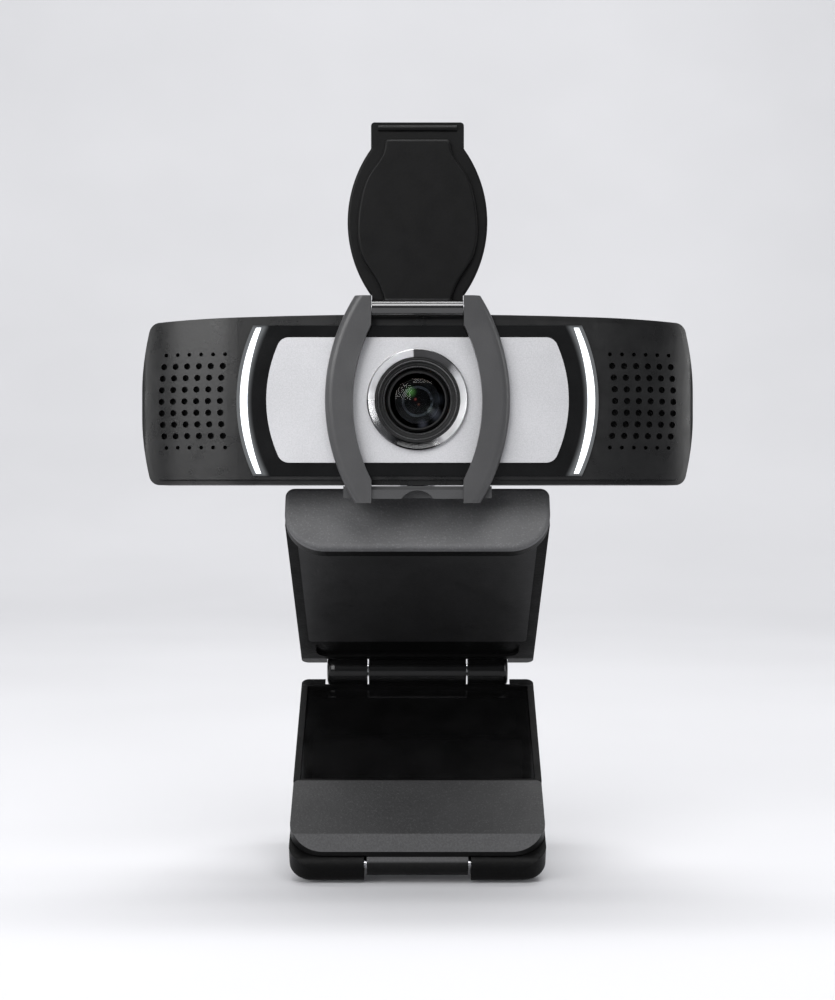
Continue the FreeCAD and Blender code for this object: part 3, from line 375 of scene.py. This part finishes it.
# each painted reflection is x and z from the lens axis, inner and outer radius in mm, and a colour
COATING_PAINTED_REFLECTIONS = (
    (-1.15, 1.5, 0.1, 1.15, (0.030, 0.085, 0.022)),
    (-0.35, 0.25, 0.05, 0.32, (0.090, 0.020, 0.018)),
    (0.20, -0.60, 0.05, 0.30, (0.050, 0.022, 0.016)),
    (2.10, -1.50, 0.1, 0.80, (0.030, 0.034, 0.032)),
    (3.10, -2.30, 0.2, 1.40, (0.022, 0.024, 0.030)),
    (0.90, -3.90, 0.2, 1.10, (0.020, 0.021, 0.027)),
    (3.60, 0.30, 0.1, 1.20, (0.006, 0.007, 0.009)),
)
BARREL_POLISH = (HINGE, 4.0 * MM, 4.4 * MM)
FLAP_POLISH = (FLAP_AXIS, 1.35 * MM, 1.6 * MM)
MATERIALS = {
    "clip_plastic": moulded("clip_plastic", 0.0022, 0.46, 0.30 * MM, 0.025 * MM, 0.06, 0.08,
                            polish=(*BARREL_POLISH, 0.25)),
    "soft_grey": moulded("soft_grey", 0.075, 0.58, 0.30 * MM, 0.045 * MM, 0.16),
    "smooth_plastic": gloss_black("smooth_plastic"),
    "shell_plastic": moulded("shell_plastic", 0.0045, 0.30, 0.26 * MM, 0.006 * MM, 0.05, 0.38),
    "gloss_black": gloss_black("gloss_black", glow=(1.45 * MM, 0.17)),
    "silver_plate": silver_plate(),
    "chrome": chrome(),
    "light_pipe": light_pipe(),
    "lens_black": lens_black(),
    "glass": optical_glass("glass", (0.55, 0.58, 0.60)),
    "copper": winding(),
    "chip": moulded("chip", 0.012, 0.40, 0.20 * MM, 0.01 * MM, 0.06),
    "board": printed_board(),
    "connector": moulded("connector", 0.60, 0.45, 0.30 * MM, 0.01 * MM),
    "mesh": cloth(),
    "rubber": moulded("rubber", 0.014, 0.62, 0.34 * MM, 0.05 * MM, 0.15),
    "steel": machined("steel", (0.56, 0.56, 0.58)),
    "brass": machined("brass", (0.80, 0.58, 0.26), 0.26),
    "shutter_grey": moulded("shutter_grey", 0.042, 0.34, 0.22 * MM, 0.010 * MM, 0.06),
    "shutter_dark": moulded("shutter_dark", 0.0032, 0.40, 0.22 * MM, 0.008 * MM, 0.03, 0.10,
                            polish=(*FLAP_POLISH, 1.0)),
}
PIECE_LOOKS = {
    "seat_pad": moulded("seat_rubber", 0.011, 0.42, 0.26 * MM, 0.010 * MM, 0.06),
    "lip_pad": moulded("lip_rubber", 0.010, 0.50, 0.26 * MM, 0.010 * MM, 0.06),
    "foot_pad": moulded("foot_rubber", 0.024, 0.60, 0.34 * MM, 0.05 * MM, 0.20),
    "foot_plate": foot_plate_look(),
    "front_lens": optical_glass("front_glass", (0.62, 0.65, 0.68), COATING_PAINTED_REFLECTIONS),
}


def dress_cad_nodes():
    for row in frame["record"]["subparts"]:
        node = frame["nodes"][row["node"]]
        material = PIECE_LOOKS.get(row["node"], MATERIALS[row["material_slot"]])
        if not node.material_slots:
            node.data.materials.append(material)
        for place in node.material_slots:
            place.material = material


# ---------------------------------------------------------------- small rings in the lens
# each profile is (radius, depth behind the face plate) in mm
OUTER_RIM = [(6.66, 0.94), (6.66, 0.80), (6.48, 0.94)]
INNER_RIM = [(5.74, 2.24), (5.74, 2.10), (5.57, 2.24)]
DUST_LIP = [(5.22, 4.30), (5.45, 4.25), (5.45, 4.35), (5.22, 4.40)]
APERTURE_STOP = [(3.64, 5.80), (3.64, 6.18), (2.55, 6.18), (2.55, 5.80)]
APERTURE_RIM = [(2.54, 5.80), (2.54, 6.18), (2.15, 6.18), (2.15, 6.10)]
RING_SIDES = 144


def turned_ring(name, profile, body, material):
    """A closed (radius, depth) profile in mm, turned about the lens axis behind the face plate."""
    points = []
    for step in range(RING_SIDES):
        turn = 2 * math.pi * step / RING_SIDES
        for radius, depth in profile:
            points.append((LENS_AXIS.x + radius * MM * math.cos(turn), HEAD_FRONT + depth * MM,
                           LENS_AXIS.z + radius * MM * math.sin(turn)))
    count = len(profile)
    faces = []
    for step in range(RING_SIDES):
        here, there = step * count, (step + 1) % RING_SIDES * count
        for k in range(count):
            nxt = (k + 1) % count
            faces.append((here + k, here + nxt, there + nxt, there + k))
    mesh = bpy.data.meshes.new(name)
    mesh.from_pydata(points, [], faces)
    mesh.materials.append(material)
    made = bpy.data.objects.new(name, mesh)
    bpy.context.scene.collection.objects.link(made)
    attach(made, body)


def make_lens_rings():
    rim = lens_black("rim_black", 0.02, 0.16, 1.0)
    black = MATERIALS["lens_black"]
    for name, profile, body, slot_name, material in (
            ("tunnel_rim_outer", OUTER_RIM, "head", "lens_black", rim),
            ("tunnel_rim_inner", INNER_RIM, "head", "lens_black", rim),
            ("dust_lip", DUST_LIP, "lens", "lens_black", black),
            ("aperture_stop", APERTURE_STOP, "lens", "lens_black", black),
            ("aperture_rim", APERTURE_RIM, "lens", "steel", MATERIALS["steel"])):
        turned_ring(name, profile, body, material)


# ---------------------------------------------------------------- room, lights and camera
VIEW_DISTANCE = 0.310      # camera to the face plate
EYE_BELOW_HEAD = 0.0025    # eye level below the head's underside
FOCAL_IN_HEIGHTS = 1.868   # focal length as a share of the picture's height
SENSOR = 36.0
FLOOR_GAP = 0.0005         # the floor lies this far below the webcam's lowest point
ROOM_HALF_WIDTH = 3.0
FLOOR_NEAR = -2.0
FLOOR_FAR = 0.7
BEND_RADIUS = 0.9
BEND_STEPS = 24
WALL_HEIGHT = 3.0
SKY_COLOUR = (0.92, 0.95, 1.0, 1.0)
SKY_STRENGTH = 0.22
AIM = (0, 0, 0.01)
# each lamp is a name, its place, where it looks, its width, height and power
LAMPS = (
    ("key", (-0.56, -0.84, 0.38), (0, 0, 0.24), 0.88, 0.50, 10.0),
    ("overhead", (0.10, -0.62, 0.66), AIM, 0.50, 0.45, 5.0),
    ("top", (0.0, -0.05, 0.72), AIM, 0.60, 0.12, 2.8),
    ("right", (0.75, -0.12, 0.12), AIM, 0.12, 0.60, 1.6),
    ("left", (-0.75, -0.10, 0.12), AIM, 0.12, 0.60, 1.0),
    ("wall", (0, 0.30, 1.55), (0, 1.5, 0.30), 1.8, 0.4, 36.0),
)


def make_camera():
    data = bpy.data.cameras.new("camera")
    camera = bpy.data.objects.new("camera", data)
    bpy.context.scene.collection.objects.link(camera)
    data.sensor_width = SENSOR
    data.lens = SENSOR * FOCAL_IN_HEIGHTS
    data.clip_start = 0.01
    data.clip_end = 20.0
    camera.location = (0, HEAD_FRONT - VIEW_DISTANCE, HEAD_UNDERSIDE - EYE_BELOW_HEAD)
    camera.rotation_euler = (math.radians(90), 0, 0)
    bpy.context.scene.camera = camera


def make_room():
    """A pale floor that curves up into a pale wall."""
    level = cad_low.z - FLOOR_GAP
    line = [(FLOOR_NEAR, level)]
    for step in range(BEND_STEPS + 1):
        turn = math.pi / 2 * step / BEND_STEPS
        line.append((FLOOR_FAR + BEND_RADIUS * math.sin(turn),
                     level + BEND_RADIUS * (1 - math.cos(turn))))
    line.append((FLOOR_FAR + BEND_RADIUS, level + WALL_HEIGHT))
    points = [(x, y, z) for y, z in line for x in (-ROOM_HALF_WIDTH, ROOM_HALF_WIDTH)]
    faces = [(i, i + 1, i + 3, i + 2) for i in range(0, len(points) - 2, 2)]
    mesh = bpy.data.meshes.new("floor")
    mesh.from_pydata(points, [], faces)
    mesh.shade_smooth()
    m = Shader("floor").set(Specular_IOR_Level=0.1)
    tone = m.noise(0.25, 3.0)
    m.link(m.blend(m.spread(tone, 0.3, 0.7), grey(0.45), grey(0.48)), "Base Color")
    m.link(m.spread(tone, 0.3, 0.7, 0.75, 0.85), "Roughness")
    mesh.materials.append(m.material)
    floor = bpy.data.objects.new("floor", mesh)
    bpy.context.scene.collection.objects.link(floor)


def soft_box(name, place, target, width, height, power):
    data = bpy.data.lights.new(name, "AREA")
    data.shape = "RECTANGLE"
    data.size = width
    data.size_y = height
    data.energy = power
    lamp = bpy.data.objects.new(name, data)
    bpy.context.scene.collection.objects.link(lamp)
    lamp.location = place
    aim = Vector(target) - Vector(place)
    lamp.rotation_euler = aim.to_track_quat("-Z", "Y").to_euler()


def make_lights():
    world = bpy.data.worlds.new("studio")
    bpy.context.scene.world = world
    world.use_nodes = True
    sky = world.node_tree.nodes["Background"]
    sky.inputs["Color"].default_value = SKY_COLOUR
    sky.inputs["Strength"].default_value = SKY_STRENGTH
    for lamp in LAMPS:
        soft_box(*lamp)


dress_cad_nodes()
make_lens_rings()
make_camera()
make_room()
make_lights()
bpy.context.scene.view_settings.view_transform = "Standard"
